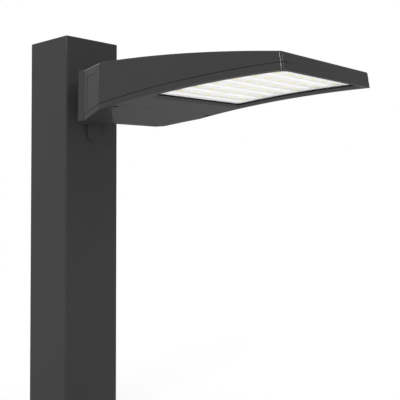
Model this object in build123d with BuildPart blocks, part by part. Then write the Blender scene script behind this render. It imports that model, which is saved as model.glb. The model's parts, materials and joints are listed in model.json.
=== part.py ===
from build123d import *
import math
import os

# Area light: an arched LED head on a short arm, bolted to the face of a square steel pole.
# Millimetres. Origin at the centre of the pole section's lower end, +Z up, the head reaches out towards -Y.

# Pole section and its cap
pole_side = 127.0
pole_wall = 4.5
pole_corner = 4.0
bore_corner = 2.0
tube_length = 757.0
cap_rim = 5.0
cap_skirt = 16.0
cap_wall = 2.5
cap_play = 0.4
cap_round = 1.2

# Bracket on the pole's face, with its rubber pad
bracket_width = 60.0
bracket_thickness = 6.0
bracket_corner = 5.0
bracket_top_drop = 78.0
bracket_bottom_drop = 170.0
tongue_width = 29.0
tongue_thickness = 5.0
tongue_drop = 204.5
pad_thickness = 1.5
pad_margin = 1.0

# Arm and the bolts that run through it into the pole
arm_length = 81.0
arm_width = 52.0
arm_wall = 4.0
arm_corner = 6.0
arm_top_drop = 84.0
arm_bottom_drop = 160.0
bolt_diameter = 10.0
bolt_play = 0.6
bolt_spacing = 50.8
bolt_centre_drop = 122.5
bolt_head_across = 17.0
bolt_head_height = 6.4
bolt_end = 4.0
washer_diameter = 20.0
washer_thickness = 2.0
nut_plate_width = 40.0
nut_plate_height = 92.0
nut_plate_thickness = 6.0
wire_hole = 20.0
grommet_lip = 3.0
grommet_bore = 13.0

# Head: plan outline, taken at the height of its front lower edge
head_reach = 534.0
front_width = 232.0
shoulder_width = 246.5
shoulder_reach = 177.0
rear_width = 193.0
block_depth = 20.0
side_draft = 0.8
front_rake = 9.0
front_round = 4.0
shoulder_round = 6.0
neck_round = 3.0
rear_round = 4.0
least_round = 0.6

# Head: side profile, an arched underside and a convex top
under_radius = 2420.0
under_reach = 530.0
front_drop = 135.3
top_radius = 2815.0
crest_reach = 123.5
crest_drop = 82.0
edge_round = 3.0

# Rim below the seam, shared by the lens frame and the driver door
rim_height = 9.5
seam_gap = 0.9
seal_height = 0.6
seal_inset = 1.5
seal_width = 3.0

# Housing
wall = 3.5
roof = 4.0
ledge = 6.0
block_bottom_drop = 173.1
block_sill = 14.0
bulkhead = 6.0
flat_pad_size = 53.0
flat_pad_corner = 10.0
flat_pad_depth = 0.5
flat_pad_drop = 124.0
flat_pad_share = 0.51

# Lens, its opening in the frame and its glazing bead
lens_rear_reach = 290.4
lens_front_reach = 520.5
lens_rear_margin = 18.5
lens_front_margin = 21.5
lens_corner = 6.0
lens_overlap = 3.8
lens_play = 0.3
lens_recess = 4.2
lens_thickness = 1.2
bevel_width = 10.0
bevel_height = 2.4
bead_width = 1.0
bead_height = 0.9
skin = 0.1

# Light engine: heat sink, boards, emitters, optics and white mask
plate_rise = 15.0
plate_thickness = 4.0
plate_play = 0.4
pad_height = 6.0
pad_width = 24.0
fin_count = 15
fin_pitch = 13.5
fin_thickness = 2.4
fin_drop = 1.2
fin_front_reach = 506.0
fin_end_gap = 6.0
row_count = 6
row_pitch = 35.1
row_first_reach = 320.5
board_length = 180.0
board_width = 27.0
board_thickness = 1.6
board_gap = 0.2
cluster_count = 6
cluster_pitch = 30.4
cluster_length = 13.0
cluster_width = 6.0
cluster_height = 0.6
optic_length = 166.0
optic_width = 22.0
optic_height = 1.5
optic_shoulder = 0.9
optic_groove = 10.0
optic_groove_height = 0.9
mask_thickness = 0.8
mask_wall = 1.0
mask_play = 0.5
board_screw_inset = 4.0
board_screw_head = 5.0
board_screw_head_height = 1.0
board_screw_shank = 2.5
board_screw_depth = 3.0
board_screw_gap = 0.35

# Screws that clamp the housing, heat sink and frame together
clamp_inset = 9.8
clamp_boss = 9.0
clamp_boss_height = 3.5
clamp_post = 8.0
clamp_shank = 4.0
clamp_play = 0.2
clamp_seat_gap = 0.6
clamp_head = 6.0
clamp_head_height = 2.6
clamp_bite = 6.0
clamp_reaches = (240.0, 375.0, 500.0)
frame_skin = 3.5
frame_rib = 5.0
frame_pocket_count = 4
front_lip_margin = 14.0
front_lip_depth = 1.2

# Driver door and its hinge
seam_reach = 217.0
door_gap = 0.6
door_slope = 15.0
door_wall = 6.0
door_floor = 3.0
door_rib = 2.5
door_rib_height = 4.0
door_rib_spacing = 55.0
hinge_gap = 1.6
hinge_setback = 6.0
hinge_height = 3.5
hinge_spacing = 140.0
knuckle_radius = 3.4
knuckle_width = 12.0
knuckle_play = 0.8
hinge_pin = 3.2
hinge_pin_length = 26.0
hinge_play = 0.06
pin_play = 0.04

# Captive screws at the door's front corners
door_screw_inset = 10.9
door_screw_reach = 206.0
door_screw_head = 8.6
door_screw_head_height = 2.8
door_screw_recess = 10.4
door_screw_recess_depth = 3.6
door_screw_shank = 4.0
door_screw_play = 0.3
door_screw_boss = 15.0
door_screw_boss_rise = 8.0
door_screw_collar = 7.0
door_screw_collar_height = 1.0
door_screw_collar_room = 8.5
door_screw_tip_rise = 16.0
door_screw_slot = 1.2
socket_diameter = 9.0
socket_depth = 8.0
socket_block_width = 25.0
socket_block_depth = 17.0
socket_block_height = 14.0

# Driver, surge protector, terminal block and wires
driver_length = 132.0
driver_width = 62.0
driver_height = 34.0
driver_reach = 121.0
driver_top_drop = 88.0
driver_corner = 3.0
driver_foot = 11.0
driver_foot_height = 3.0
driver_rail_width = 16.0
driver_rail_bite = 1.5
driver_screw_spacing = 40.0
driver_screw_head = 7.5
driver_screw_head_height = 2.4
driver_screw_shank = 4.0
driver_screw_depth = 2.5
surge_length = 40.0
surge_width = 25.0
surge_height = 34.0
surge_drop = 96.0
surge_x = 82.0
terminal_length = 46.0
terminal_width = 17.0
terminal_height = 20.0
terminal_drop = 108.0
terminal_x = -80.0
terminal_ways = 3
terminal_port = 6.0
terminal_port_depth = 9.0
lead_hole = 12.0
lead_drop = 112.0
lead_grommet_lip = 2.5
lead_diameter = 3.0
lead_spacing = 3.4
lead_bend = 9.0
lead_bite = 6.0
lead_end_gap = 0.35

# Sides of small screw heads, screw shanks and wires
head_sides = 6
shank_sides = 8

# Places that follow from the sizes above
pole_face = -pole_side / 2
pole_top = tube_length + cap_rim
rim_top = rim_height + seam_gap
plate_top = plate_rise + plate_thickness
pad_rise = plate_rise - pad_height
board_rise = pad_rise - board_gap - board_thickness
bore_half = pole_side / 2 - pole_wall


def out(distance):
    """Y at a distance out from the pole's face."""
    return pole_face - distance


def down(distance):
    """Z at a distance below the pole's top."""
    return pole_top - distance


front_y = out(head_reach)
shoulder_y = out(shoulder_reach)
block_y = out(arm_length + block_depth)
rear_y = out(arm_length)
seam_y = out(seam_reach)
bulkhead_rear_y = seam_y + seal_inset
bulkhead_front_y = bulkhead_rear_y - bulkhead
arm_front_y = out(pad_thickness + bracket_thickness)
front_z = down(front_drop)
past_front = front_y - 2 * front_round
past_rear = rear_y + arm_length / 2
seam_lean = rim_height * math.tan(math.radians(door_slope))


def under(rise):
    """Arc of the underside, raised by a distance: centre Y, centre Z, radius."""
    return out(under_reach), front_z - under_radius, under_radius + rise


def top(drop):
    """Arc of the top, lowered by a distance: centre Y, centre Z, radius."""
    return out(crest_reach), down(crest_drop) - top_radius, top_radius - drop


def height(arc, y):
    """Z of an arc at a given Y."""
    return arc[1] + math.sqrt(arc[2] ** 2 - (y - arc[0]) ** 2)


plan_low = height(under(-rim_height), rear_y) - rim_height
plan_high = down(crest_drop) + rim_height


def half_width(y):
    """Half width of the straight tapered sides at the height of the front lower edge."""
    share = (y - front_y) / (shoulder_y - front_y)
    return (front_width + share * (shoulder_width - front_width)) / 2


def plan_points(z):
    """Corners of the head's plan outline at a height, with the sides' draft and the front's rake."""
    lean = (z - front_z) * math.tan(math.radians(side_draft))
    nose = front_y + (z - front_z) * math.tan(math.radians(front_rake))
    right = [
        (half_width(nose) - lean, nose),
        (half_width(shoulder_y) - lean, shoulder_y),
        (rear_width / 2 - lean, block_y),
        (rear_width / 2 - lean, rear_y),
    ]
    return right + [(-x, y) for x, y in reversed(right)]


def slab(lower, upper, front, rear, front_lean=0.0, rear_lean=0.0):
    """Everything between two arcs and two end lines, right across the head."""
    middle = (front + rear) / 2
    with BuildPart() as band:
        with BuildSketch(Plane.YZ):
            with BuildLine():
                low = ThreePointArc(*[(y, height(lower, y)) for y in (front, middle, rear)])
                ends = (rear + rear_lean, middle, front + front_lean)
                high = ThreePointArc(*[(y, height(upper, y)) for y in ends])
                Line(low @ 1, high @ 0)
                Line(high @ 1, low @ 0)
            make_face()
        extrude(amount=shoulder_width, both=True)
    return band.part


def head(inset, lower, upper, front, rear, front_lean=0.0, rear_lean=0.0):
    """The head's drafted outline pulled in by an inset, between two arcs and two end lines."""
    band = slab(lower, upper, front, rear, front_lean, rear_lean)
    rounds = (front_round - inset, shoulder_round - inset, neck_round + inset, rear_round - inset)
    with BuildPart() as volume:
        for z in (plan_low, plan_high):
            with BuildSketch(Plane.XY.offset(z)) as plan:
                with BuildLine():
                    Polyline(*plan_points(z), close=True)
                make_face()
                if inset:
                    offset(amount=-inset, kind=Kind.INTERSECTION, mode=Mode.REPLACE)
                for corner in (3, 2, 1, 0):
                    pair = plan.vertices().group_by(Axis.Y)[corner]
                    fillet(pair, radius=max(rounds[corner], least_round))
        loft(ruled=True)
        add(band, mode=Mode.INTERSECT)
    return volume.part


def prism(points, corner, lower, upper):
    """Upright prism on a plan outline, between two arcs."""
    band = slab(lower, upper, past_front, past_rear)
    with BuildPart() as block:
        with BuildSketch(Plane.XY.offset(plan_low)) as outline:
            with BuildLine():
                Polyline(*points, close=True)
            make_face()
            if corner:
                fillet(outline.vertices(), radius=corner)
        extrude(amount=plan_high - plan_low)
        add(band, mode=Mode.INTERSECT)
    return block.part


def posts(places, diameter, lower, upper):
    """Upright round posts at plan places, between two arcs."""
    band = slab(lower, upper, past_front, past_rear)
    with BuildPart() as group:
        with BuildSketch(Plane.XY.offset(plan_low)):
            with Locations(*places):
                Circle(diameter / 2)
        extrude(amount=plan_high - plan_low)
        add(band, mode=Mode.INTERSECT)
    return group.part


def lens_outline(grow):
    """The lens opening's plan outline, grown by a distance."""
    rear = out(lens_rear_reach) + grow
    nose = out(lens_front_reach) - grow
    rear_half = half_width(out(lens_rear_reach)) - lens_rear_margin + grow
    nose_half = half_width(out(lens_front_reach)) - lens_front_margin + grow
    return [(nose_half, nose), (rear_half, rear), (-rear_half, rear), (-nose_half, nose)]


def rectangle(x_low, x_high, y_low, y_high):
    """Corners of a plan rectangle."""
    return [(x_low, y_low), (x_high, y_low), (x_high, y_high), (x_low, y_high)]


def wall_plane(y):
    """Upright plane at a given Y that faces the pole's far side, X to the left."""
    return Plane(origin=(0, y, 0), x_dir=(-1, 0, 0), z_dir=(0, 1, 0))


bolt_drops = (bolt_centre_drop - bolt_spacing / 2, bolt_centre_drop + bolt_spacing / 2)
bolt_places = [(0, down(drop)) for drop in bolt_drops]
wire_place = (0, down(bolt_centre_drop))
clamp_places = [
    (side * (half_width(out(reach)) - clamp_inset), out(reach)) for reach in clamp_reaches for side in (-1, 1)
]
row_ys = [out(row_first_reach + row * row_pitch) for row in range(row_count)]
board_screw_places = [
    (side * (board_length / 2 - board_screw_inset), y) for y in row_ys for side in (-1, 1)
]
door_screw_y = out(door_screw_reach)
door_screw_x = half_width(door_screw_y) - door_screw_inset
door_screw_places = [(-door_screw_x, door_screw_y), (door_screw_x, door_screw_y)]
door_screw_z = height(under(0), door_screw_y)
door_seat_z = door_screw_z + door_screw_recess_depth
hinge_y = block_y + hinge_setback
hinge_z = down(block_bottom_drop) + hinge_height
hinge_xs = (-hinge_spacing / 2, hinge_spacing / 2)

# Pole section: square tube with the bolt holes and the wiring hole through its front wall
with BuildPart() as pole_section:
    with BuildSketch():
        RectangleRounded(pole_side, pole_side, pole_corner)
        RectangleRounded(2 * bore_half, 2 * bore_half, bore_corner, mode=Mode.SUBTRACT)
    extrude(amount=tube_length)
    with BuildSketch(wall_plane(pole_face)):
        with Locations(*bolt_places):
            Circle((bolt_diameter + bolt_play) / 2)
        with Locations(wire_place):
            Circle(wire_hole / 2)
    extrude(amount=pole_wall, mode=Mode.SUBTRACT)

# Pole cap: flat top with a plug skirt inside the tube
with BuildPart() as pole_cap:
    with BuildSketch(Plane.XY.offset(tube_length)):
        RectangleRounded(pole_side, pole_side, pole_corner)
    extrude(amount=cap_rim)
    fillet(pole_cap.faces().sort_by(Axis.Z)[-1].edges(), radius=cap_round)
    skirt_side = 2 * (bore_half - cap_play)
    with BuildSketch(Plane.XY.offset(tube_length)):
        RectangleRounded(skirt_side, skirt_side, cap_wall)
        Rectangle(skirt_side - 2 * cap_wall, skirt_side - 2 * cap_wall, mode=Mode.SUBTRACT)
    extrude(amount=-cap_skirt)

# Bracket: plate on the pole's face with a round-ended tongue below it
bracket_height = bracket_bottom_drop - bracket_top_drop
with BuildPart() as pole_bracket:
    with BuildSketch(wall_plane(arm_front_y)):
        with Locations((0, down((bracket_top_drop + bracket_bottom_drop) / 2))):
            RectangleRounded(bracket_width, bracket_height, bracket_corner)
        with Locations(*bolt_places):
            Circle((bolt_diameter + bolt_play) / 2, mode=Mode.SUBTRACT)
        with Locations(wire_place):
            Circle(wire_hole / 2, mode=Mode.SUBTRACT)
    extrude(amount=bracket_thickness)
    with BuildSketch(wall_plane(out(pad_thickness + tongue_thickness))):
        with BuildLine():
            half = tongue_width / 2
            round_z = down(tongue_drop) + half
            root_z = down(bracket_bottom_drop) + bracket_corner
            Polyline((-half, round_z), (-half, root_z), (half, root_z), (half, round_z))
            ThreePointArc((half, round_z), (0, down(tongue_drop)), (-half, round_z))
        make_face()
    extrude(amount=tongue_thickness)

# Rubber pad between bracket and pole
with BuildPart() as pole_gasket:
    with BuildSketch(wall_plane(out(pad_thickness))):
        with Locations((0, down((bracket_top_drop + bracket_bottom_drop) / 2))):
            RectangleRounded(bracket_width - 2 * pad_margin, bracket_height - 2 * pad_margin, bracket_corner)
        with Locations(*bolt_places):
            Circle((bolt_diameter + bolt_play) / 2, mode=Mode.SUBTRACT)
        with Locations(wire_place):
            Circle(wire_hole / 2, mode=Mode.SUBTRACT)
    extrude(amount=pad_thickness)

# Arm: hollow spacer between bracket and housing
arm_height = arm_bottom_drop - arm_top_drop
with BuildPart() as arm:
    with BuildSketch(wall_plane(rear_y)):
        with Locations((0, down((arm_top_drop + arm_bottom_drop) / 2))):
            RectangleRounded(arm_width, arm_height, arm_corner)
            RectangleRounded(arm_width - 2 * arm_wall, arm_height - 2 * arm_wall, arm_corner - arm_wall,
                             mode=Mode.SUBTRACT)
    extrude(amount=arm_front_y - rear_y)

# Bolts from inside the housing, through the arm, into a nut plate in the pole
bolt_seat_y = rear_y - wall - washer_thickness
nut_front_y = pole_face + pole_wall
bolt_tip_y = nut_front_y + nut_plate_thickness + bolt_end
with BuildPart() as arm_bolts:
    with BuildSketch(wall_plane(bolt_seat_y - bolt_head_height)):
        with Locations(*bolt_places):
            RegularPolygon(bolt_head_across / 2, 6, major_radius=False)
    extrude(amount=bolt_head_height)
    with BuildSketch(wall_plane(bolt_seat_y)):
        with Locations(*bolt_places):
            Circle(bolt_diameter / 2)
    extrude(amount=bolt_tip_y - bolt_seat_y)

with BuildPart() as bolt_washers:
    with BuildSketch(wall_plane(bolt_seat_y)):
        with Locations(*bolt_places):
            Circle(washer_diameter / 2)
            Circle((bolt_diameter + bolt_play) / 2, mode=Mode.SUBTRACT)
    extrude(amount=washer_thickness)

with BuildPart() as nut_plate:
    with BuildSketch(wall_plane(nut_front_y)):
        with Locations(wire_place):
            RectangleRounded(nut_plate_width, nut_plate_height, bracket_corner)
            Circle(wire_hole / 2, mode=Mode.SUBTRACT)
        with Locations(*bolt_places):
            Circle(bolt_diameter / 2 + clamp_play, mode=Mode.SUBTRACT)
    extrude(amount=nut_plate_thickness)

# Rubber ring that lines the wiring hole, from the bracket to the nut plate
with BuildPart() as wire_grommet:
    grommet_front_y = arm_front_y - grommet_lip
    with BuildSketch(wall_plane(grommet_front_y)):
        with Locations(wire_place):
            Circle(wire_hole / 2 + grommet_lip)
    extrude(amount=grommet_lip)
    with BuildSketch(wall_plane(arm_front_y)):
        with Locations(wire_place):
            Circle(wire_hole / 2 - skin)
    extrude(amount=nut_front_y + nut_plate_thickness - arm_front_y)
    with BuildSketch(wall_plane(grommet_front_y)):
        with Locations(wire_place):
            Circle(grommet_bore / 2)
    extrude(amount=nut_front_y + nut_plate_thickness - grommet_front_y, mode=Mode.SUBTRACT)

# Housing: arched casting with a driver bay at the rear and a finned, open-topped bay over the lights
housing_shell = head(0, under(rim_top), top(0), past_front, past_rear)
rear_block = head(0, under(-rim_height), top(edge_round + roof), block_y, past_rear)
driver_bay = head(wall, under(0), top(roof), bulkhead_rear_y, block_y)
rear_bay = head(wall, under(block_sill), top(roof), block_y - wall, past_rear)
light_bay = head(wall, under(0), under(plate_top), past_front, bulkhead_front_y)
fin_bay = head(ledge, under(plate_rise), top(-rim_height), past_front, bulkhead_front_y)
clamp_bosses = posts(clamp_places, clamp_boss, under(plate_top + skin), under(plate_top + clamp_boss_height))
clamp_holes = posts(clamp_places, clamp_shank + 2 * clamp_play, under(0), top(-rim_height))
driver_front_y = out(driver_reach + driver_width)
driver_rear_y = out(driver_reach)
driver_rail_x = driver_length / 2 + driver_foot - driver_rail_width / 2
driver_top_z = down(driver_top_drop)
driver_middle_y = (driver_front_y + driver_rear_y) / 2
rail_top_z = height(top(roof - driver_rail_bite), driver_front_y)
lead_x = 2.5 * fin_pitch
lead_place = (-lead_x, down(lead_drop))


def flat_plane(side):
    """Plane on a slanted flat, centred where the shallow recess goes, facing outwards."""
    run_x = (shoulder_width - rear_width) / 2
    run_y = shoulder_y - block_y
    slope = math.tan(math.radians(side_draft))
    z = down(flat_pad_drop)
    x = rear_width / 2 + flat_pad_share * run_x - (z - front_z) * slope
    y = block_y + flat_pad_share * run_y
    return Plane(origin=(side * x, y, z), x_dir=(side * run_x, run_y, 0),
                 z_dir=(-side * run_y, run_x, -run_y * slope))


socket_bounds = head(wall / 2, under(rim_top), under(rim_top + socket_block_height), past_front, past_rear)
with BuildPart() as socket_blocks:
    with BuildSketch(Plane.XY.offset(plan_low)):
        with Locations(*door_screw_places):
            Rectangle(socket_block_width, socket_block_depth)
    extrude(amount=plan_high - plan_low)
    add(socket_bounds, mode=Mode.INTERSECT)
sockets = posts(door_screw_places, socket_diameter, under(0), under(rim_top + socket_depth))
foot_x = driver_length / 2 + driver_foot / 2
driver_screw_places = [
    (side * foot_x, driver_middle_y + end * driver_screw_spacing / 2) for side in (-1, 1) for end in (-1, 1)
]

with BuildPart() as housing:
    add(housing_shell)
    fillet(housing.faces().sort_by(Axis.Z)[-1].edges(), radius=edge_round)
    add(rear_block)
    with Locations((0, (block_y + past_rear) / 2, down(block_bottom_drop) - rim_height)):
        Box(shoulder_width, past_rear - block_y + rim_height, 2 * rim_height, mode=Mode.SUBTRACT)
    add(driver_bay, mode=Mode.SUBTRACT)
    add(rear_bay, mode=Mode.SUBTRACT)
    add(light_bay, mode=Mode.SUBTRACT)
    add(fin_bay, mode=Mode.SUBTRACT)
    add(clamp_bosses)
    add(clamp_holes, mode=Mode.SUBTRACT)
    # Rails under the roof that carry the driver
    with BuildSketch(Plane.XY.offset(driver_top_z)):
        with Locations((-driver_rail_x, driver_middle_y), (driver_rail_x, driver_middle_y)):
            Rectangle(driver_rail_width, driver_width)
    extrude(amount=rail_top_z - driver_top_z)
    with BuildSketch(Plane.XY.offset(driver_top_z)):
        with Locations(*driver_screw_places):
            Circle(driver_screw_shank / 2 + skin)
    extrude(amount=driver_screw_depth, mode=Mode.SUBTRACT)
    # Socket blocks for the tips of the door screws
    add(socket_blocks.part)
    add(sockets, mode=Mode.SUBTRACT)
    # Bolt holes and wiring hole through the rear wall, lead hole through the bulkhead
    with BuildSketch(wall_plane(rear_y - wall)):
        with Locations(*bolt_places):
            Circle((bolt_diameter + bolt_play) / 2)
        with Locations(wire_place):
            Circle(wire_hole / 2)
    extrude(amount=wall, mode=Mode.SUBTRACT)
    with BuildSketch(wall_plane(bulkhead_front_y)):
        with Locations(lead_place):
            Circle(lead_hole / 2)
    extrude(amount=bulkhead, mode=Mode.SUBTRACT)
    # Notches for the door's knuckles and the bores of the hinge pins
    notch_depth = hinge_setback + knuckle_radius + knuckle_play
    notch_height = 2 * (knuckle_radius + knuckle_play)
    with Locations(*[(x, block_y + notch_depth / 2, hinge_z) for x in hinge_xs]):
        Box(knuckle_width + 2 * knuckle_play, notch_depth, notch_height, mode=Mode.SUBTRACT)
    for x in hinge_xs:
        with BuildSketch(Plane.YZ.offset(x - hinge_pin_length / 2)):
            with Locations((hinge_y, hinge_z)):
                Circle(hinge_pin / 2 + pin_play)
        extrude(amount=hinge_pin_length, mode=Mode.SUBTRACT)
    # Shallow square recesses on the slanted flats
    for side in (-1, 1):
        with BuildSketch(flat_plane(side)):
            RectangleRounded(flat_pad_size, flat_pad_size, flat_pad_corner)
        extrude(amount=flat_pad_depth, both=True, mode=Mode.SUBTRACT)

# Lens frame: rim round the lens with a bevelled opening and ribbed pockets behind the lens
frame_ring = head(0, under(0), under(rim_height), past_front, seam_y - door_gap / 2, rear_lean=seam_lean)
opening = prism(lens_outline(0), lens_corner, under(-rim_height), under(2 * rim_height))
rebate = prism(lens_outline(lens_overlap + lens_play), lens_corner, under(lens_recess - bead_height - skin),
               under(2 * rim_height))
frame_posts = posts(clamp_places, clamp_post, under(rim_height - skin), under(plate_rise - skin))
clamp_bites = posts(clamp_places, clamp_shank + 2 * skin, under(rim_height - clamp_bite),
                    under(2 * plate_rise))
pocket_front_y = out(lens_rear_reach) + lens_overlap + lens_play + frame_rib
pocket_rear_y = seam_y - 2 * frame_rib
pocket_span = 2 * (half_width(pocket_front_y) - clamp_inset - clamp_post) / frame_pocket_count
pocket_middles = [(i - (frame_pocket_count - 1) / 2) * pocket_span for i in range(frame_pocket_count)]
pocket_half = (pocket_span - frame_rib) / 2
pockets = [
    prism(rectangle(x - pocket_half, x + pocket_half, pocket_front_y, pocket_rear_y), frame_rib / 2,
          under(frame_skin), under(2 * rim_height))
    for x in pocket_middles
]

# Lip that closes the seam along the front face, between the corners
lip_y = front_y + rim_top * math.tan(math.radians(front_rake)) + front_lip_depth
lip_half = front_width / 2 - front_lip_margin
lip_bounds = prism(rectangle(-lip_half, lip_half, past_front, lip_y), 0, under(0), under(2 * rim_height))
lip_band = head(0, under(rim_height - skin), under(rim_top - skin), past_front, seam_y)
with BuildPart() as front_lip:
    add(lip_band)
    add(lip_bounds, mode=Mode.INTERSECT)

with BuildPart() as lens_frame:
    add(frame_ring)
    add(opening, mode=Mode.SUBTRACT)
    underside = lens_frame.faces().sort_by(SortBy.AREA).filter_by(lambda f: f.normal_at().Z < -0.9)[-1]
    chamfer(underside.inner_wires()[0].edges(), length=bevel_width, length2=bevel_height, reference=underside)
    add(rebate, mode=Mode.SUBTRACT)
    for pocket in pockets:
        add(pocket, mode=Mode.SUBTRACT)
    add(frame_posts)
    add(front_lip.part)
    add(clamp_bites, mode=Mode.SUBTRACT)

# Lens and its glazing bead
lens_body = prism(lens_outline(lens_overlap), lens_corner, under(lens_recess),
                  under(lens_recess + lens_thickness))
with BuildPart() as lens:
    add(lens_body)

bead_top = under(lens_recess - skin)
bead_seat = prism(lens_outline(lens_overlap), lens_corner, under(lens_recess - bead_height), bead_top)
bead_lip = prism(lens_outline(-skin), lens_corner, under(bevel_height + skin), bead_top)
bead_bore = prism(lens_outline(-skin - bead_width), lens_corner - bead_width, under(0), under(rim_height))
with BuildPart() as lens_gasket:
    add(bead_seat)
    add(bead_lip)
    add(bead_bore, mode=Mode.SUBTRACT)

# Seal between lens frame and housing
seal_rise = rim_height + seal_height
frame_seal_outer = head(seal_inset, under(rim_height + skin), under(seal_rise), past_front,
                        seam_y - seal_inset)
frame_seal_inner = head(seal_inset + seal_width, under(0), under(2 * rim_height), past_front,
                        seam_y - seal_inset - seal_width)
with BuildPart() as frame_seal:
    add(frame_seal_outer)
    add(frame_seal_inner, mode=Mode.SUBTRACT)

# Heat sink: arched plate with a raised pad behind each board and upright cooling fins that fill the open bay
plate = head(wall + plate_play, under(plate_rise), under(plate_top - skin), past_front,
             bulkhead_front_y - plate_play)
fin_xs = [(i - (fin_count - 1) / 2) * fin_pitch for i in range(fin_count)]
fin_band = slab(under(plate_rise + plate_thickness / 2), top(fin_drop), out(fin_front_reach),
                bulkhead_front_y - fin_end_gap)
lead_port = posts([(lead_x, row_ys[0])], lead_diameter + lead_spacing + 2 * clamp_play, under(0),
                  under(plate_top))
board_bites = posts(board_screw_places, board_screw_shank + 2 * skin, under(0),
                    under(pad_rise + board_screw_depth))
board_pads = [
    prism(rectangle(-board_length / 2, board_length / 2, y - pad_width / 2, y + pad_width / 2), 0,
          under(pad_rise), under(plate_rise + plate_thickness / 2))
    for y in row_ys
]
with BuildPart() as heat_sink:
    with BuildSketch(Plane.XY.offset(plan_low)):
        with Locations(*[(x, (out(fin_front_reach) + bulkhead_front_y) / 2) for x in fin_xs]):
            Rectangle(fin_thickness, head_reach)
    extrude(amount=plan_high - plan_low)
    add(fin_band, mode=Mode.INTERSECT)
    add(plate)
    for board_pad in board_pads:
        add(board_pad)
    add(clamp_holes, mode=Mode.SUBTRACT)
    add(board_bites, mode=Mode.SUBTRACT)
    add(lead_port, mode=Mode.SUBTRACT)

# LED boards, one to a row
board_band = slab(under(board_rise), under(board_rise + board_thickness), past_front, past_rear)
with BuildPart() as led_boards:
    with BuildSketch(Plane.XY.offset(plan_low)):
        with Locations(*[(0, y) for y in row_ys]):
            Rectangle(board_length, board_width)
        with Locations(*board_screw_places):
            Circle(board_screw_shank / 2 + skin, mode=Mode.SUBTRACT)
    extrude(amount=plan_high - plan_low)
    add(board_band, mode=Mode.INTERSECT)

# Emitters on the boards
cluster_xs = [(i - (cluster_count - 1) / 2) * cluster_pitch for i in range(cluster_count)]
board_face = under(board_rise - skin)
cluster_band = slab(under(board_rise - skin - cluster_height), board_face, past_front, past_rear)
with BuildPart() as led_clusters:
    with BuildSketch(Plane.XY.offset(plan_low)):
        with Locations(*[(x, y) for y in row_ys for x in cluster_xs]):
            Rectangle(cluster_length, cluster_width)
    extrude(amount=plan_high - plan_low)
    add(cluster_band, mode=Mode.INTERSECT)


def row_plane(y, rise):
    """Plane across a row, square to the arch: X along the arch, Y up, normal along the row."""
    arc = under(rise)
    sine = (y - arc[0]) / arc[2]
    cosine = math.sqrt(1 - sine ** 2)
    return Plane(origin=(-optic_length / 2, y, height(arc, y)), x_dir=(0, cosine, -sine), z_dir=(1, 0, 0))


# Clear refractor bars, one to a row, hollow over the emitters
with BuildPart() as optic_strips:
    for y in row_ys:
        with BuildSketch(row_plane(y, board_rise - skin)):
            with BuildLine():
                Polyline((-optic_width / 2, -optic_shoulder), (-optic_width / 2, 0), (-optic_groove / 2, 0),
                         (-optic_groove / 2, -optic_groove_height), (optic_groove / 2, -optic_groove_height),
                         (optic_groove / 2, 0), (optic_width / 2, 0), (optic_width / 2, -optic_shoulder))
                ThreePointArc((optic_width / 2, -optic_shoulder), (0, -optic_height),
                              (-optic_width / 2, -optic_shoulder))
            make_face()
        extrude(amount=optic_length)

# White mask between the rows, a shallow tray whose walls reach down to the lens
mask_sheet = prism(lens_outline(mask_wall), lens_corner, under(lens_recess + lens_thickness + skin), board_face)
mask_hollow = prism(lens_outline(0), lens_corner, under(0), under(board_rise - skin - mask_thickness))
with BuildPart() as reflector_mask:
    add(mask_sheet)
    add(mask_hollow, mode=Mode.SUBTRACT)
    with BuildSketch(Plane.XY.offset(plan_low)):
        with Locations(*[(0, y) for y in row_ys]):
            Rectangle(board_length - board_screw_inset / 2, optic_width + 2 * mask_play)
    extrude(amount=plan_high - plan_low, mode=Mode.SUBTRACT)

# Board screws, heads below the boards
with BuildPart() as board_screws:
    for x, y in board_screw_places:
        seat = height(under(board_rise - board_screw_gap), y)
        with BuildSketch(Plane.XY.offset(seat)):
            with Locations((x, y)):
                RegularPolygon(board_screw_head / 2, head_sides)
        extrude(amount=-board_screw_head_height)
        with BuildSketch(Plane.XY.offset(seat)):
            with Locations((x, y)):
                RegularPolygon(board_screw_shank / 2, shank_sides)
        extrude(amount=board_thickness + board_gap + board_screw_depth - skin)

# Clamp screws, heads on the housing's bosses
with BuildPart() as clamp_screws:
    for x, y in clamp_places:
        seat = height(under(plate_top + clamp_boss_height + clamp_seat_gap), y)
        tip = height(under(rim_height - clamp_bite + clamp_seat_gap), y)
        with BuildSketch(Plane.XY.offset(seat)):
            with Locations((x, y)):
                RegularPolygon(clamp_head / 2, head_sides)
        extrude(amount=clamp_head_height)
        with BuildSketch(Plane.XY.offset(seat)):
            with Locations((x, y)):
                RegularPolygon(clamp_shank / 2, shank_sides)
        extrude(amount=tip - seat)

# Driver door: ribbed tray with screw bosses and two hinge knuckles
door_front_y = seam_y + door_gap / 2
door_rear_y = block_y - hinge_gap
door_shell = head(0, under(0), under(rim_height), door_front_y, door_rear_y, front_lean=seam_lean)
door_hollow = head(door_wall, under(door_floor), under(2 * rim_height), door_front_y + seam_lean + door_wall,
                   door_rear_y - door_wall)
door_bosses = posts(door_screw_places, door_screw_boss, under(door_floor / 2), under(door_screw_boss_rise))
collar_room = posts(door_screw_places, door_screw_collar_room, under(door_screw_boss_rise),
                    under(2 * rim_height))
rib_xs = (-door_rib_spacing, 0, door_rib_spacing)
door_ribs = [
    prism(rectangle(x - door_rib / 2, x + door_rib / 2, door_front_y + door_wall, door_rear_y - door_wall), 0,
          under(door_floor / 2), under(door_floor + door_rib_height))
    for x in rib_xs
]

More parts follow.
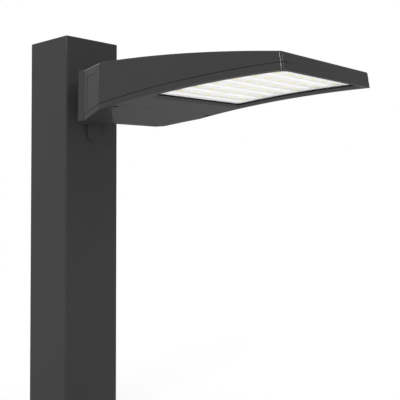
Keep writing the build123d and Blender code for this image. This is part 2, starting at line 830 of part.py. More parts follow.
with BuildPart() as driver_door:
    add(door_shell)
    add(door_hollow, mode=Mode.SUBTRACT)
    for rib in door_ribs:
        add(rib)
    add(door_bosses)
    add(collar_room, mode=Mode.SUBTRACT)
    with BuildSketch(Plane.XY.offset(door_seat_z)):
        with Locations(*door_screw_places):
            Circle(door_screw_recess / 2)
    extrude(amount=-2 * rim_height, mode=Mode.SUBTRACT)
    with BuildSketch(Plane.XY.offset(door_seat_z)):
        with Locations(*door_screw_places):
            Circle(door_screw_shank / 2 + door_screw_play)
    extrude(amount=2 * rim_height, mode=Mode.SUBTRACT)
    # Knuckles and the webs that carry them
    web_length = hinge_y - door_rear_y + door_wall
    with Locations(*[(x, hinge_y - web_length / 2, hinge_z + skin) for x in hinge_xs]):
        Box(knuckle_width, web_length, 2 * (knuckle_radius - skin))
    for x in hinge_xs:
        with BuildSketch(Plane.YZ.offset(x - knuckle_width / 2)):
            with Locations((hinge_y, hinge_z)):
                Circle(knuckle_radius)
        extrude(amount=knuckle_width)
        with BuildSketch(Plane.YZ.offset(x - knuckle_width)):
            with Locations((hinge_y, hinge_z)):
                Circle(hinge_pin / 2 + hinge_play)
        extrude(amount=2 * knuckle_width, mode=Mode.SUBTRACT)

# Seal on the door's rim
door_rim_y = door_front_y + seam_lean
door_seal_outer = head(seal_inset, under(rim_height + skin), under(seal_rise), door_rim_y + seal_inset,
                       door_rear_y - seal_inset)
seal_edge = seal_inset + seal_width
door_seal_inner = head(seal_edge, under(0), under(2 * rim_height), door_rim_y + seal_edge,
                       door_rear_y - seal_edge)
with BuildPart() as door_gasket:
    add(door_seal_outer)
    add(door_seal_inner, mode=Mode.SUBTRACT)

# Hinge pins
with BuildPart() as hinge_pins:
    for x in hinge_xs:
        with BuildSketch(Plane.YZ.offset(x - hinge_pin_length / 2 + skin)):
            with Locations((hinge_y, hinge_z)):
                Circle(hinge_pin / 2)
        extrude(amount=hinge_pin_length - 2 * skin)


def door_screw(place):
    """Captive screw in the door: slotted head below, collar above the boss, plain tip in a socket."""
    collar_z = height(under(door_screw_boss_rise), door_screw_y) + 2 * door_screw_play
    tip_z = height(under(door_screw_tip_rise), door_screw_y)
    with BuildPart() as screw:
        with BuildSketch(Plane.XY.offset(door_seat_z - skin)):
            with Locations(place):
                Circle(door_screw_head / 2)
        extrude(amount=-door_screw_head_height)
        with BuildSketch(Plane.XY.offset(door_seat_z - skin)):
            with Locations(place):
                Circle(door_screw_shank / 2)
        extrude(amount=tip_z - door_seat_z)
        with BuildSketch(Plane.XY.offset(collar_z)):
            with Locations(place):
                Circle(door_screw_collar / 2)
        extrude(amount=door_screw_collar_height)
        with BuildSketch(Plane.XY.offset(door_seat_z - skin - door_screw_head_height)):
            with Locations(place):
                Rectangle(2 * door_screw_head, door_screw_slot)
        extrude(amount=door_screw_slot, mode=Mode.SUBTRACT)
    return screw


door_screw_left = door_screw(door_screw_places[0])
door_screw_right = door_screw(door_screw_places[1])

# LED driver with mounting feet, held up to the housing's rails
with BuildPart() as led_driver:
    with BuildSketch(Plane.XY.offset(driver_top_z)):
        with Locations((0, driver_middle_y)):
            RectangleRounded(driver_length, driver_width, driver_corner)
    extrude(amount=-driver_height)
    fillet(led_driver.faces().sort_by(Axis.Z)[0].edges(), radius=driver_corner / 2)
    with BuildSketch(Plane.XY.offset(driver_top_z)):
        with Locations((0, driver_middle_y)):
            RectangleRounded(driver_length + 2 * driver_foot, driver_width, driver_corner)
        with Locations(*driver_screw_places):
            Circle(driver_screw_shank / 2 + clamp_play, mode=Mode.SUBTRACT)
    extrude(amount=-driver_foot_height)

with BuildPart() as driver_screws:
    with BuildSketch(Plane.XY.offset(driver_top_z - driver_foot_height)):
        with Locations(*driver_screw_places):
            RegularPolygon(driver_screw_head / 2, head_sides)
    extrude(amount=-driver_screw_head_height)
    with BuildSketch(Plane.XY.offset(driver_top_z - driver_foot_height)):
        with Locations(*driver_screw_places):
            RegularPolygon(driver_screw_shank / 2, shank_sides)
    extrude(amount=driver_foot_height + driver_screw_depth - clamp_play)

# Surge protector and terminal block on the bulkhead
with BuildPart() as surge_protector:
    with BuildSketch(Plane.XY.offset(down(surge_drop))):
        with Locations((surge_x, bulkhead_rear_y + surge_width / 2)):
            Rectangle(surge_length, surge_width)
    extrude(amount=-surge_height)
    fillet(surge_protector.edges().filter_by(Axis.Z).group_by(Axis.Y)[-1], radius=driver_corner)

terminal_pitch = terminal_length / terminal_ways
terminal_xs = [terminal_x + (i - (terminal_ways - 1) / 2) * terminal_pitch for i in range(terminal_ways)]
terminal_back_y = bulkhead_rear_y + terminal_width
with BuildPart() as terminal_block:
    with BuildSketch(Plane.XY.offset(down(terminal_drop))):
        with Locations((terminal_x, bulkhead_rear_y + terminal_width / 2)):
            Rectangle(terminal_length, terminal_width)
    extrude(amount=-terminal_height)
    with BuildSketch(wall_plane(terminal_back_y - terminal_port_depth)):
        with Locations(*[(-x, down(terminal_drop + terminal_height / 2)) for x in terminal_xs]):
            Circle(terminal_port / 2)
    extrude(amount=terminal_port_depth, mode=Mode.SUBTRACT)

# Rubber ring in the bulkhead's lead hole
with BuildPart() as lead_grommet:
    with BuildSketch(wall_plane(bulkhead_front_y)):
        with Locations(lead_place):
            Circle(lead_hole / 2 - skin)
    extrude(amount=bulkhead)
    with BuildSketch(wall_plane(bulkhead_rear_y)):
        with Locations(lead_place):
            Circle(lead_hole / 2 + lead_grommet_lip)
    extrude(amount=lead_grommet_lip)
    with BuildSketch(wall_plane(bulkhead_front_y)):
        with Locations(lead_place):
            Circle(lead_hole / 2 - lead_grommet_lip)
    extrude(amount=bulkhead + lead_grommet_lip, mode=Mode.SUBTRACT)


def wire(*corners):
    """Round wire along straight runs joined by tangent bends."""
    with BuildPart() as strand:
        with BuildLine() as route:
            FilletPolyline(*corners, radius=lead_bend)
        with BuildSketch(Plane(origin=route.line @ 0, z_dir=route.line % 0)):
            RegularPolygon(lead_diameter / 2, shank_sides)
        sweep(path=route.line)
    return strand.part


# Leads from the driver through the bulkhead, between two fins and down to the first board
lead_z = down(lead_drop)
lead_turn_y = row_ys[0]
lead_end_z = height(under(board_rise + board_thickness + lead_end_gap), lead_turn_y)
led_lead_xs = (lead_x - lead_spacing / 2, lead_x + lead_spacing / 2)
led_strands = [
    wire((x, driver_front_y - skin, lead_z), (x, lead_turn_y, lead_z), (x, lead_turn_y, lead_end_z))
    for x in led_lead_xs
]
with BuildPart() as led_leads:
    add(led_strands)

# Leads from the terminal block to the driver's end
port_z = down(terminal_drop + terminal_height / 2)
driver_end_x = -driver_length / 2 - skin
driver_strands = [
    wire((x, terminal_back_y - lead_bite, port_z), (x, y, port_z), (driver_end_x, y, port_z))
    for x, y in zip(terminal_xs, (driver_middle_y, driver_middle_y - 2 * lead_spacing))
]
with BuildPart() as driver_leads:
    add(driver_strands)

# Every piece is written to its own file under its own name
pieces = {
    "pole_section": pole_section.part,
    "pole_cap": pole_cap.part,
    "pole_bracket": pole_bracket.part,
    "pole_gasket": pole_gasket.part,
    "arm": arm.part,
    "arm_bolts": arm_bolts.part,
    "bolt_washers": bolt_washers.part,
    "nut_plate": nut_plate.part,
    "wire_grommet": wire_grommet.part,
    "housing": housing.part,
    "lens_frame": lens_frame.part,
    "lens": lens.part,
    "lens_gasket": lens_gasket.part,
    "frame_seal": frame_seal.part,
    "heat_sink": heat_sink.part,
    "led_boards": led_boards.part,
    "led_clusters": led_clusters.part,
    "optic_strips": optic_strips.part,
    "reflector_mask": reflector_mask.part,
    "board_screws": board_screws.part,
    "clamp_screws": clamp_screws.part,
    "driver_door": driver_door.part,
    "door_gasket": door_gasket.part,
    "hinge_pins": hinge_pins.part,
    "door_screw_left": door_screw_left.part,
    "door_screw_right": door_screw_right.part,
    "led_driver": led_driver.part,
    "driver_screws": driver_screws.part,
    "surge_protector": surge_protector.part,
    "terminal_block": terminal_block.part,
    "lead_grommet": lead_grommet.part,
    "led_leads": led_leads.part,
    "driver_leads": driver_leads.part,
}
os.makedirs("parts", exist_ok=True)
for name, piece in pieces.items():
    piece.label = name
    export_step(piece, f"parts/{name}.step")
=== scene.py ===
"""Dresses, lights and frames the area light on its square pole.

Sizes are in metres, scales of a noise in cycles per metre, and colours are linear.
"""

import json
import logging
import math
from dataclasses import dataclass, field
from enum import Enum
from typing import Dict, Iterable, Optional, Protocol, Tuple, Union

import bmesh
import bpy
from mathutils import Matrix, Vector


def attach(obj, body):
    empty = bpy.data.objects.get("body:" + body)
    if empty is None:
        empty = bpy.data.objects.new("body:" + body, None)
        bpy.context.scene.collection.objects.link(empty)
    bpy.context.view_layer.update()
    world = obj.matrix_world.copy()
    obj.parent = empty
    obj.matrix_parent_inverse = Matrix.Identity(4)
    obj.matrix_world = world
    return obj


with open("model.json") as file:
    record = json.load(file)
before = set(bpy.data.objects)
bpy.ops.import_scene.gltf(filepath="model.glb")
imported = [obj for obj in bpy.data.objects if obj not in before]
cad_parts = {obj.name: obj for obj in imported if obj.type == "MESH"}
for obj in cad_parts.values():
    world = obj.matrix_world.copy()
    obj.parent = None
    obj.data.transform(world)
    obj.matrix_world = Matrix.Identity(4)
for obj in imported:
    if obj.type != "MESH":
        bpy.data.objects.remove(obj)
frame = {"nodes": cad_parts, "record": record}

LOG = logging.getLogger("area_light")
Colour = Tuple[float, float, float]
Place = Tuple[float, float, float]
Span = Tuple[float, float]
Socket = bpy.types.NodeSocket

# Places of the colour sockets on a Mix node
MIX_FIRST = 6
MIX_SECOND = 7
MIX_RESULT = 2

# Where most of a noise's values lie
NOISE_SPAN: Span = (0.3, 0.7)

# Tilt in degrees of a camera that looks level
LEVEL_TILT = 90.0


class Body(Enum):
    """The body of the model that the added piece rides on."""

    BASE = "base"


def shade(colour: Colour, factor: float) -> Colour:
    """A colour made lighter or darker.

    Args:
        colour: a linear colour.
        factor: what each channel is multiplied by.

    Returns:
        The new colour.
    """
    return tuple(min(channel * factor, 1.0) for channel in colour)


class Graph:
    """A material's node tree with short calls for the nodes that the finishes use."""

    def __init__(self, name: str) -> None:
        """Starts a material with one Principled shader.

        Args:
            name: the material's name.
        """
        self.material = bpy.data.materials.new(name)
        self.material.use_nodes = True
        self.tree = self.material.node_tree
        self.shader = self.tree.nodes["Principled BSDF"]
        self.coords = self.tree.nodes.new("ShaderNodeTexCoord").outputs["Object"]

    def node(self, kind: str, **settings: object) -> bpy.types.Node:
        """Adds a node and sets its properties.

        Args:
            kind: the node's type name.
            settings: property values.

        Returns:
            The new node.
        """
        made = self.tree.nodes.new(kind)
        for key, value in settings.items():
            setattr(made, key, value)
        return made

    def link(self, source: Socket, target: Socket) -> None:
        """Joins an output to an input."""
        self.tree.links.new(source, target)

    def fix(self, **values: float) -> None:
        """Sets plain values on the shader, with underscores for the spaces in the sockets' names."""
        for key, value in values.items():
            self.shader.inputs[key.replace("_", " ")].default_value = value

    def stretched(self, scale: Tuple[float, float, float]) -> Socket:
        """Object coordinates scaled along each axis.

        Args:
            scale: factors along X, Y and Z.

        Returns:
            The vector output.
        """
        mapping = self.node("ShaderNodeMapping")
        self.link(self.coords, mapping.inputs["Vector"])
        mapping.inputs["Scale"].default_value = scale
        return mapping.outputs["Vector"]

    def noise(self, scale: float, detail: float, vector: Optional[Socket] = None) -> Socket:
        """Noise in the range 0 to 1.

        Args:
            scale: cycles per metre.
            detail: octaves.
            vector: coordinates, the object's own if left out.

        Returns:
            The factor output.
        """
        made = self.node("ShaderNodeTexNoise")
        self.link(vector or self.coords, made.inputs["Vector"])
        made.inputs["Scale"].default_value = scale
        made.inputs["Detail"].default_value = detail
        return made.outputs["Fac"]

    def dots(self, pitch: float) -> Socket:
        """Distance to the nearest dot of an even grid.

        Args:
            pitch: spacing of the dots.

        Returns:
            The distance, as a share of the spacing.
        """
        made = self.node("ShaderNodeTexVoronoi")
        self.link(self.coords, made.inputs["Vector"])
        made.inputs["Scale"].default_value = 1 / pitch
        made.inputs["Randomness"].default_value = 0.0
        return made.outputs["Distance"]

    def spread(self, source: Socket, low: float, high: float, span: Span = NOISE_SPAN) -> Socket:
        """Maps a range of a factor to a low and a high value.

        Args:
            source: the factor.
            low: value at the range's lower end.
            high: value at the range's upper end.
            span: the factor's range.

        Returns:
            The mapped value.
        """
        made = self.node("ShaderNodeMapRange")
        self.link(source, made.inputs["Value"])
        made.inputs["From Min"].default_value, made.inputs["From Max"].default_value = span
        made.inputs["To Min"].default_value, made.inputs["To Max"].default_value = low, high
        return made.outputs["Result"]

    def blend(self, factor: Socket, first: Union[Socket, Colour], second: Colour) -> Socket:
        """Mixes two colours by a factor.

        Args:
            factor: 0 for the first, 1 for the second.
            first: a linear colour, or an output that gives one.
            second: a linear colour.

        Returns:
            The colour output.
        """
        made = self.node("ShaderNodeMix", data_type="RGBA")
        self.link(factor, made.inputs["Factor"])
        if isinstance(first, tuple):
            made.inputs[MIX_FIRST].default_value = (*first, 1.0)
        else:
            self.link(first, made.inputs[MIX_FIRST])
        made.inputs[MIX_SECOND].default_value = (*second, 1.0)
        return made.outputs[MIX_RESULT]

    def product(self, first: Socket, second: Socket) -> Socket:
        """Multiplies two factors.

        Args:
            first: a factor.
            second: a factor.

        Returns:
            The product.
        """
        made = self.node("ShaderNodeMath", operation="MULTIPLY")
        self.link(first, made.inputs[0])
        self.link(second, made.inputs[1])
        return made.outputs[0]

    def repeat(self, axis: str, start: float, pitch: float) -> Socket:
        """Distance along an axis to the nearest place of an even row.

        Args:
            axis: X, Y or Z.
            start: one of the row's places.
            pitch: spacing of the row.

        Returns:
            The distance in metres.
        """
        parts = self.node("ShaderNodeSeparateXYZ")
        self.link(self.coords, parts.inputs[0])
        made = parts.outputs[axis]
        for operation, number in (("SUBTRACT", start), ("PINGPONG", pitch / 2)):
            step = self.node("ShaderNodeMath", operation=operation)
            self.link(made, step.inputs[0])
            step.inputs[1].default_value = number
            made = step.outputs[0]
        return made

    def seen_directly(self) -> Socket:
        """A factor that is 1 for rays from the camera, in mirrors and through glass.

        Returns:
            The factor output.
        """
        path = self.node("ShaderNodeLightPath")
        made = path.outputs["Is Camera Ray"]
        for ray in ("Is Glossy Ray", "Is Transmission Ray"):
            either = self.node("ShaderNodeMath", operation="MAXIMUM")
            self.link(made, either.inputs[0])
            self.link(path.outputs[ray], either.inputs[1])
            made = either.outputs[0]
        return made

    def two_tone(self, source: Socket, colour: Colour, tones: Span, span: Span = NOISE_SPAN) -> Socket:
        """A colour that goes from one tone to another with a factor.

        Args:
            source: the factor.
            colour: a linear colour.
            tones: what the colour is multiplied by at the range's two ends.
            span: the factor's range.

        Returns:
            The colour output.
        """
        share = self.spread(source, 0.0, 1.0, span)
        return self.blend(share, shade(colour, tones[0]), shade(colour, tones[1]))

    def paint(self, source: Socket) -> None:
        """Gives the shader its colour."""
        self.link(source, self.shader.inputs["Base Color"])

    def dull(self, source: Socket, roughness: float, swing: Span) -> None:
        """Gives the shader a roughness that swings with a factor.

        Args:
            source: the factor.
            roughness: the plain roughness.
            swing: what is added to it at the two ends of the factor's range.
        """
        low, high = (roughness + step for step in swing)
        self.link(self.spread(source, low, high), self.shader.inputs["Roughness"])

    def bump(self, source: Socket, depth: float) -> None:
        """Raises the surface by a factor.

        Args:
            source: the height factor.
            depth: height in metres at a factor of 1.
        """
        made = self.node("ShaderNodeBump")
        made.inputs["Strength"].default_value = 1.0
        made.inputs["Distance"].default_value = depth
        self.link(source, made.inputs["Height"])
        self.link(made.outputs["Normal"], self.shader.inputs["Normal"])


@dataclass(frozen=True)
class EmitterGrid:
    """Rows and columns of the LED clusters and the arch that they lie on."""

    arch_y: float = -0.5935
    arch_z: float = -1.7933
    arch_radius: float = 2.4265
    first_row: float = -0.384
    row_pitch: float = 0.0351
    rows: int = 6
    cluster_pitch: float = 0.0304
    clusters: int = 6

    def height(self, y: float) -> float:
        """Height of the clusters' lower face at a place along the arch."""
        return self.arch_z + math.sqrt(self.arch_radius ** 2 - (y - self.arch_y) ** 2)

    def centres(self) -> Iterable[Tuple[float, float]]:
        """Plan places of the clusters.

        Returns:
            Pairs of X and Y.
        """
        middle = (self.clusters - 1) / 2
        for row in range(self.rows):
            y = self.first_row - row * self.row_pitch
            for cluster in range(self.clusters):
                yield (cluster - middle) * self.cluster_pitch, y


EMITTERS = EmitterGrid()


class Finish(Protocol):
    """Anything that can make a material."""

    def build(self, name: str) -> bpy.types.Material:
        """Makes the material."""


@dataclass(frozen=True)
class PowderCoat:
    """Baked powder paint with a fine orange-peel grain under a thin smooth skin."""

    colour: Colour
    roughness: float = 0.6
    roughness_swing: Span = (-0.05, 0.07)
    grain: float = 0.0011
    relief: float = 0.00003
    cloud_scale: float = 9.0
    mottle: float = 0.03
    shine: float = 0.03
    skin: float = 0.075
    skin_ior: float = 2.2
    skin_roughness: float = 0.1

    def build(self, name: str) -> bpy.types.Material:
        """Makes the material.

        Args:
            name: the material's name.

        Returns:
            The material.
        """
        graph = Graph(name)
        graph.fix(Specular_IOR_Level=self.shine, Coat_Weight=self.skin, Coat_IOR=self.skin_ior,
                  Coat_Roughness=self.skin_roughness)
        clouds = graph.noise(self.cloud_scale, detail=4.0)
        graph.paint(graph.two_tone(clouds, self.colour, (1 - self.mottle, 1 + self.mottle)))
        grain = graph.noise(1 / self.grain, detail=2.0)
        graph.dull(grain, self.roughness, self.roughness_swing)
        graph.bump(grain, self.relief)
        return graph.material


@dataclass(frozen=True)
class Moulding:
    """Moulded rubber or plastic with a faint matt texture."""

    colour: Colour
    roughness: float = 0.6
    roughness_swing: Span = (-0.08, 0.08)
    grain: float = 0.0008
    relief: float = 0.00003
    bloom_scale: float = 35.0
    mottle: float = 0.08
    shine: float = 0.5

    def build(self, name: str) -> bpy.types.Material:
        """Makes the material.

        Args:
            name: the material's name.

        Returns:
            The material.
        """
        graph = Graph(name)
        graph.fix(Specular_IOR_Level=self.shine)
        bloom = graph.noise(self.bloom_scale, detail=5.0)
        graph.paint(graph.two_tone(bloom, self.colour, (1 - self.mottle, 1 + self.mottle)))
        grain = graph.noise(1 / self.grain, detail=3.0)
        graph.dull(grain, self.roughness, self.roughness_swing)
        graph.bump(grain, self.relief)
        return graph.material


@dataclass(frozen=True)
class DrawnMetal:
    """Plated or bare metal with fine streaks along one direction."""

    colour: Colour
    roughness: float = 0.35
    roughness_swing: Span = (-0.08, 0.1)
    streak: Tuple[float, float, float] = (1.0, 30.0, 30.0)
    streak_scale: float = 60.0
    streak_tones: Span = (0.9, 1.06)
    relief: float = 0.00002

    def build(self, name: str) -> bpy.types.Material:
        """Makes the material.

        Args:
            name: the material's name.

        Returns:
            The material.
        """
        graph = Graph(name)
        graph.fix(Metallic=1.0)
        lines = graph.noise(self.streak_scale, detail=4.0, vector=graph.stretched(self.streak))
        graph.paint(graph.two_tone(lines, self.colour, self.streak_tones))
        graph.dull(lines, self.roughness, self.roughness_swing)
        graph.bump(lines, self.relief)
        return graph.material


@dataclass(frozen=True)
class ClearSheet:
    """Clear window that lets light through to what is behind it."""

    colour: Colour
    alpha: float
    roughness: float
    roughness_swing: Span = (0.0, 0.03)
    ripple_scale: float = 22.0
    ripple_tones: Span = (0.99, 1.0)
    relief: float = 0.00004
    ior: float = 1.5

    def build(self, name: str) -> bpy.types.Material:
        """Makes the material.

        Args:
            name: the material's name.

        Returns:
            The material.
        """
        graph = Graph(name)
        graph.fix(Alpha=self.alpha, IOR=self.ior)
        ripple = graph.noise(self.ripple_scale, detail=2.0)
        graph.paint(graph.two_tone(ripple, self.colour, self.ripple_tones))
        graph.dull(ripple, self.roughness, self.roughness_swing)
        graph.bump(ripple, self.relief)
        return graph.material


@dataclass(frozen=True)
class DimpledOptic:
    """Moulded refractor bar: a milky dimpled face whose dimple middles are darkened as painted shade of
    their bumps, and which takes up the emitters' yellow above them.
    """

    colour: Colour
    glow: Colour
    alpha: float
    grid: EmitterGrid
    roughness: float = 0.15
    roughness_swing: Span = (0.0, 0.06)
    haze_scale: float = 300.0
    dimple: float = 0.0036
    dimple_edge: Span = (0.2, 0.5)
    dimple_depth: float = 0.0002
    # Painted shade: how dark each dimple's middle is painted, standing in for the shading of its bump
    dimple_painted_shade: float = 0.88
    spot_across: Span = (0.0045, 0.0085)
    spot_along: Span = (0.0025, 0.0055)
    ior: float = 1.5

    def build(self, name: str) -> bpy.types.Material:
        """Makes the material.

        Args:
            name: the material's name.

        Returns:
            The material.
        """
        graph = Graph(name)
        graph.fix(Alpha=self.alpha, IOR=self.ior)
        dots = graph.dots(self.dimple)
        # Painted shade: each dimple's middle is darkened to stand in for the shading of its bump
        face = graph.two_tone(dots, self.colour, (self.dimple_painted_shade, 1.0), self.dimple_edge)
        across = graph.repeat("X", self.grid.cluster_pitch / 2, self.grid.cluster_pitch)
        along = graph.repeat("Y", self.grid.first_row, self.grid.row_pitch)
        spot = graph.product(graph.spread(across, 1.0, 0.0, self.spot_across),
                             graph.spread(along, 1.0, 0.0, self.spot_along))
        graph.paint(graph.blend(spot, face, self.glow))
        haze = graph.noise(self.haze_scale, detail=2.0)
        graph.dull(haze, self.roughness, self.roughness_swing)
        graph.bump(dots, self.dimple_depth)
        return graph.material


@dataclass(frozen=True)
class PrintedSheet:
    """White reflective sheet or circuit board with a faint even print of dots."""

    colour: Colour
    dot_pitch: float
    dot_shade: float
    dot_edge: Span = (0.2, 0.45)
    roughness: float = 0.45
    roughness_swing: Span = (-0.05, 0.1)
    fibre_scale: float = 900.0
    relief: float = 0.00001

    def build(self, name: str) -> bpy.types.Material:
        """Makes the material.

        Args:
            name: the material's name.

        Returns:
            The material.
        """
        graph = Graph(name)
        dots = graph.dots(self.dot_pitch)
        graph.paint(graph.two_tone(dots, self.colour, (self.dot_shade, 1.0), self.dot_edge))
        fibre = graph.noise(self.fibre_scale, detail=3.0)
        graph.dull(fibre, self.roughness, self.roughness_swing)
        graph.bump(fibre, self.relief)
        return graph.material


HEAD_GREY: Colour = (0.0305, 0.0305, 0.0305)
POLE_GREY: Colour = (0.038, 0.038, 0.038)
EMITTER_GLOW: Colour = (0.96, 0.88, 0.24)

FINISHES: Dict[str, Finish] = {
    "pole_paint": PowderCoat(POLE_GREY, skin_ior=1.5),
    "head_paint": PowderCoat(HEAD_GREY),
    "black_rubber": Moulding((0.006, 0.006, 0.006), roughness=0.7, shine=0.1),
    "grey_silicone": Moulding((0.05, 0.05, 0.05), roughness=0.65),
    "zinc_steel": DrawnMetal((0.42, 0.42, 0.43), roughness=0.38),
    "black_steel": Moulding((0.014, 0.014, 0.014), shine=0.1),
    "clear_glass": ClearSheet((0.98, 0.98, 0.98), alpha=0.12, roughness=0.02),
    "bare_aluminium": PowderCoat(HEAD_GREY, grain=0.0008),
    "board_white": PrintedSheet((0.93, 0.93, 0.92), dot_pitch=0.004, dot_shade=0.93),
    "phosphor_yellow": Moulding((0.93, 0.82, 0.1), roughness=0.4, mottle=0.05),
    "optic_clear": DimpledOptic((0.97, 0.97, 0.96), EMITTER_GLOW, alpha=0.88, grid=EMITTERS),
    "mask_white": PrintedSheet((0.98, 0.98, 0.98), dot_pitch=0.003, dot_shade=0.98),
    "driver_case": DrawnMetal((0.62, 0.63, 0.64), roughness=0.42, streak=(1.0, 25.0, 25.0)),
    "surge_case": Moulding((0.02, 0.02, 0.022), roughness=0.5),
    "terminal_grey": Moulding((0.6, 0.6, 0.57), roughness=0.5),
    "wire_red": Moulding((0.32, 0.012, 0.01), roughness=0.45),
    "wire_black": Moulding((0.012, 0.012, 0.012), roughness=0.45),
}


@dataclass
class Wardrobe:
    """Builds each finish once and puts it on the model's nodes by their material slots."""

    finishes: Dict[str, Finish]
    materials: Dict[str, bpy.types.Material] = field(init=False)

    def __post_init__(self) -> None:
        """Makes every material."""
        self.materials = {slot: finish.build(slot) for slot, finish in self.finishes.items()}

    def dress(self) -> None:
        """Gives every node of the model the finish of its slot."""
        for part in frame["record"]["subparts"]:
            self.wear(frame["nodes"][part["node"]], part["material_slot"])
            LOG.info("%s wears %s", part["node"], part["material_slot"])

    def wear(self, piece: bpy.types.Object, slot: str) -> None:
        """Replaces a piece's materials with one finish.

        Args:
            piece: the object.
            slot: the material slot's name.
        """
        if not piece.material_slots:
            piece.data.materials.append(self.materials[slot])
        for place in piece.material_slots:
            place.material = self.materials[slot]


def set_down(mesh: bmesh.types.BMesh, name: str) -> bpy.types.Object:
    """Makes an object of a bmesh and puts it in the scene.

    Args:
        mesh: the shape, which is freed.
        name: the object's name.

    Returns:
        The new object.
    """
    data = bpy.data.meshes.new(name)
    mesh.to_mesh(data)
    mesh.free()
    made = bpy.data.objects.new(name, data)
    bpy.context.scene.collection.objects.link(made)
    return made


def settle(mesh: bmesh.types.BMesh, name: str, body: Body, slot: str, wardrobe: Wardrobe) -> None:
    """Makes a finished piece from a bmesh, rides it on a body and dresses it.

    Args:
        mesh: the shape, which is freed.
        name: the piece's name.
        body: the body that it moves with.
        slot: the material slot that it takes its finish from.
        wardrobe: the finishes.
    """
    bmesh.ops.recalc_face_normals(mesh, faces=mesh.faces)
    piece = set_down(mesh, name)
    wardrobe.wear(piece, slot)
    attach(piece, body.value)
    LOG.info("made %s", name)


@dataclass
class LightPanel:
    """The emitter chips on each LED cluster, laid along the arch of the boards."""

    grid: EmitterGrid = EMITTERS
    chip: float = 0.0023
    chip_gap: float = 0.0031
    chip_rows: int = 2
    chip_columns: int = 4
    chip_height: float = 0.00015
    bevel_share: float = 0.3

    def chip_places(self) -> Iterable[Tuple[float, float]]:
        """Plan places of all the chips.

        Returns:
            Pairs of X and Y.
        """
        for x, y in self.grid.centres():
            for across in range(self.chip_columns):
                for along in range(self.chip_rows):
                    yield (x + (across - (self.chip_columns - 1) / 2) * self.chip_gap,
                           y + (along - (self.chip_rows - 1) / 2) * self.chip_gap)

    def build(self, wardrobe: Wardrobe) -> None:
        """Makes the chips as one piece.

        Args:
            wardrobe: the finishes.
        """
        mesh = bmesh.new()
        size = Matrix.Diagonal((self.chip, self.chip, self.chip_height, 1.0))
        for x, y in self.chip_places():
            place = Matrix.Translation((x, y, self.grid.height(y) - self.chip_height / 2))
            bmesh.ops.create_cube(mesh, size=1.0, matrix=place @ size)
        bmesh.ops.bevel(mesh, geom=mesh.edges[:], offset=self.chip_height * self.bevel_share,
                        affect="EDGES", segments=1, profile=0.5, material=-1)
        settle(mesh, "led_chips", Body.BASE, "phosphor_yellow", wardrobe)


@dataclass(frozen=True)
class SoftBox:
    """A rectangular lamp: where it hangs, what it faces, its width and height, and its watts."""

    name: str
    place: Place
    target: Place
    size: Tuple[float, float]
    power: float
    mirrored: bool = True

    def hang(self) -> None:
        """Puts the lamp in the scene, out of sight of glossy faces unless it is mirrored."""
        data = bpy.data.lights.new(self.name, "AREA")
        data.shape = "RECTANGLE"
        data.size, data.size_y = self.size
        data.energy = self.power
        lamp = bpy.data.objects.new(self.name, data)
        lamp.visible_glossy = self.mirrored
        lamp.location = self.place
        aim = Vector(self.target) - Vector(self.place)
        lamp.rotation_euler = aim.to_track_quat("-Z", "Y").to_euler()
        bpy.context.scene.collection.objects.link(lamp)


# The left and front lamps glint on the head's front corner, and the back lamp on the slanted flat's edge
LAMPS: Tuple[SoftBox, ...] = (
    SoftBox("left_box", (-2.4, -0.3, 1.305), (0.0, -0.4, 0.65), (0.5, 0.22), 18.0),
    SoftBox("front_box", (0.1, -3.0, 1.81), (0.0, -0.35, 0.62), (0.45, 0.22), 6.0),
    SoftBox("back_box", (0.267, 2.257, 1.419), (-0.11, -0.2, 0.665), (0.45, 0.18), 4.0),
    SoftBox("low_box", (1.7, -0.5, 0.1), (0.0, -0.45, 0.63), (1.0, 0.6), 6.0, mirrored=False),
)


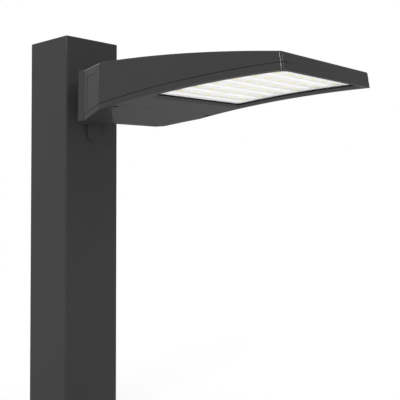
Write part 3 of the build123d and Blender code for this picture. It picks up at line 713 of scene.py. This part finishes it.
@dataclass
class Studio:
    """Camera, floor, world and lamps."""

    camera_place: Place = (-0.7194, -1.0067, 0.5045)
    camera_pitch: float = 1.214
    camera_turn: float = -46.249
    focal: float = 52.75
    sensor: float = 36.0
    shift: Tuple[float, float] = (0.03825, -0.1098)
    world_colour: Colour = (1.0, 1.0, 1.0)
    world_light: float = 1.0
    floor_size: float = 30.0
    floor_drop: float = 0.0005
    floor_colour: Colour = (0.94, 0.94, 0.94)
    floor_roughness: float = 0.9
    near_glow: float = 0.8
    shadow_reach: Span = (0.5, 1.8)
    lamps: Tuple[SoftBox, ...] = LAMPS

    def frame_camera(self) -> None:
        """Puts the camera at the photograph's place."""
        data = bpy.data.cameras.new("camera")
        data.lens = self.focal
        data.sensor_width = self.sensor
        data.shift_x, data.shift_y = self.shift
        camera = bpy.data.objects.new("camera", data)
        camera.location = self.camera_place
        tilt = math.radians(LEVEL_TILT + self.camera_pitch)
        camera.rotation_euler = (tilt, 0.0, math.radians(self.camera_turn))
        bpy.context.scene.collection.objects.link(camera)
        bpy.context.scene.camera = camera

    def fill_world(self) -> None:
        """Lights everything evenly from a plain white world."""
        world = bpy.data.worlds.new("studio")
        bpy.context.scene.world = world
        world.use_nodes = True
        light = world.node_tree.nodes["Background"]
        light.inputs["Color"].default_value = (*self.world_colour, 1.0)
        light.inputs["Strength"].default_value = self.world_light

    def lay_floor(self) -> None:
        """Lays a pale floor that keeps a soft shadow at the pole's foot and turns white farther off."""
        mesh = bmesh.new()
        bmesh.ops.create_grid(mesh, x_segments=1, y_segments=1, size=self.floor_size)
        floor = set_down(mesh, "floor")
        floor.location = (0.0, 0.0, -self.floor_drop)
        graph = Graph("floor")
        graph.fix(Roughness=self.floor_roughness)
        graph.shader.inputs["Base Color"].default_value = (*self.floor_colour, 1.0)
        distance = graph.node("ShaderNodeVectorMath", operation="LENGTH")
        graph.link(graph.coords, distance.inputs[0])
        fade = graph.spread(distance.outputs["Value"], self.near_glow, 1.0, self.shadow_reach)
        mix = graph.node("ShaderNodeMixShader")
        graph.link(graph.product(graph.seen_directly(), fade), mix.inputs[0])
        graph.link(graph.shader.outputs[0], mix.inputs[1])
        graph.link(graph.node("ShaderNodeEmission").outputs[0], mix.inputs[2])
        graph.link(mix.outputs[0], graph.tree.nodes["Material Output"].inputs["Surface"])
        floor.data.materials.append(graph.material)

    def build(self) -> None:
        """Sets up the whole studio."""
        self.frame_camera()
        self.fill_world()
        self.lay_floor()
        for lamp in self.lamps:
            lamp.hang()
        bpy.context.scene.view_settings.view_transform = "Standard"
        LOG.info("studio set")


def main() -> None:
    """Builds the scene in order."""
    logging.basicConfig(level=logging.INFO, format="%(message)s")
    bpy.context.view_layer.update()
    wardrobe = Wardrobe(FINISHES)
    wardrobe.dress()
    LightPanel().build(wardrobe)
    Studio().build()


if __name__ == "__main__":
    main()
